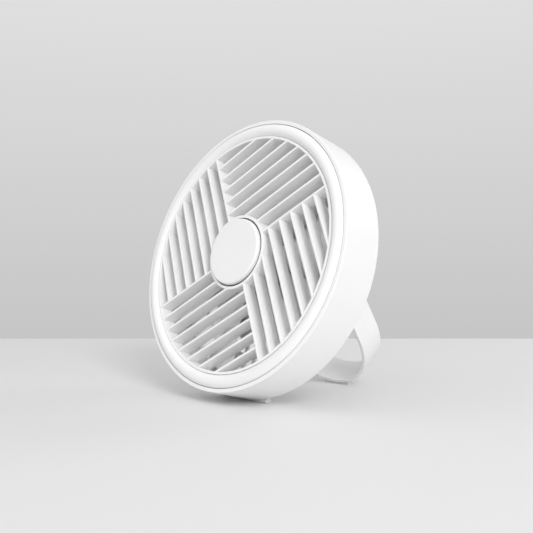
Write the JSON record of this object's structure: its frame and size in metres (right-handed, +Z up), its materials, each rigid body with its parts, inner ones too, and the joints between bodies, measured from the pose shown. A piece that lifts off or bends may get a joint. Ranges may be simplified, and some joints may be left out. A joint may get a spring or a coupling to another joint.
{
  "type": "rechargeable fan",
  "caption": "Round battery table fan with a pinwheel louvre grille and a hoop strap stand that folds flat behind it or swings up as a hanging loop.",
  "frame": {"origin": "on the table, under the middle of the box round the whole fan with its stand open", "axes": "+Z up, the fan's front faces -Y and leans back 15 degrees, +X to the right seen from the front"},
  "size_m": [0.18, 0.1392, 0.1821],
  "materials": {
    "housing_white": "fine satin moulded surface",
    "ring_white": "smooth satin moulded surface",
    "grille_white": "smooth satin moulded surface",
    "cap_white": "even matt moulded surface",
    "rotor_white": "smooth satin moulded surface",
    "stand_white": "smooth satin moulded surface",
    "pin_white": "white painted head",
    "steel": "bright plated",
    "magnet": "dull sintered",
    "core_steel": "stacked sheet, dull",
    "copper": "enamelled wire",
    "motor_plastic": "matt moulded",
    "washer_nylon": "waxy",
    "foot_rubber": "matt soft rubber",
    "cell_sleeve": "shrunk plastic sleeve over a metal can",
    "foam": "open foam",
    "board_green": "lacquered board",
    "switch_black": "matt moulded",
    "socket_metal": "plated shell",
    "button_grey": "smooth satin moulded surface",
    "light_lens": "clear moulded"
  },
  "bodies": {
    "body": {"housing_barrel": "housing_white", "front_ring": "ring_white", "front_grille": "grille_white", "hub_cap": "cap_white", "stator_core": "core_steel", "stator_coils": "copper", "motor_base": "motor_plastic", "bearing_front": "steel", "bearing_rear": "steel", "motor_screws": "steel", "rear_cover": "housing_white", "cover_screws": "steel", "pod_shell": "housing_white", "pod_screws": "steel", "hinge_pin_right": "pin_white", "hinge_pin_left": "pin_white", "friction_washers": "washer_nylon", "body_foot": "foot_rubber", "battery_cell_upper": "cell_sleeve", "battery_cell_lower": "cell_sleeve", "battery_cradle": "motor_plastic", "battery_pad": "foam", "control_board": "board_green", "board_screws": "steel", "tact_switch": "switch_black", "usb_socket": "socket_metal", "charge_lights": "light_lens"},
    "rotor": {"fan_rotor": "rotor_white", "motor_can": "steel", "magnet_ring": "magnet", "motor_shaft": "steel", "shaft_clip": "steel"},
    "stand": {"stand": "stand_white", "stand_pad": "foot_rubber"},
    "button": {"power_button": "button_grey"}
  },
  "joints": [
    {"name": "rotor_spin", "type": "hinge", "parent": "body", "child": "rotor", "pos_m": [0, -0.04599, 0.09538], "axis": [0, -0.9659, 0.2588], "continuous": true},
    {"name": "stand_fold", "type": "hinge", "parent": "body", "child": "stand", "pos_m": [0, -0.00106, 0.09887], "axis": [1, 0, 0], "range_deg": [-47, 131]},
    {"name": "button_press", "type": "slide", "parent": "body", "child": "button", "axis": [0, -0.9659, 0.2588], "range_m": [0, 0.0008], "stiffness_N_per_m": 1200, "springref_m": -0.0004}
  ]
}
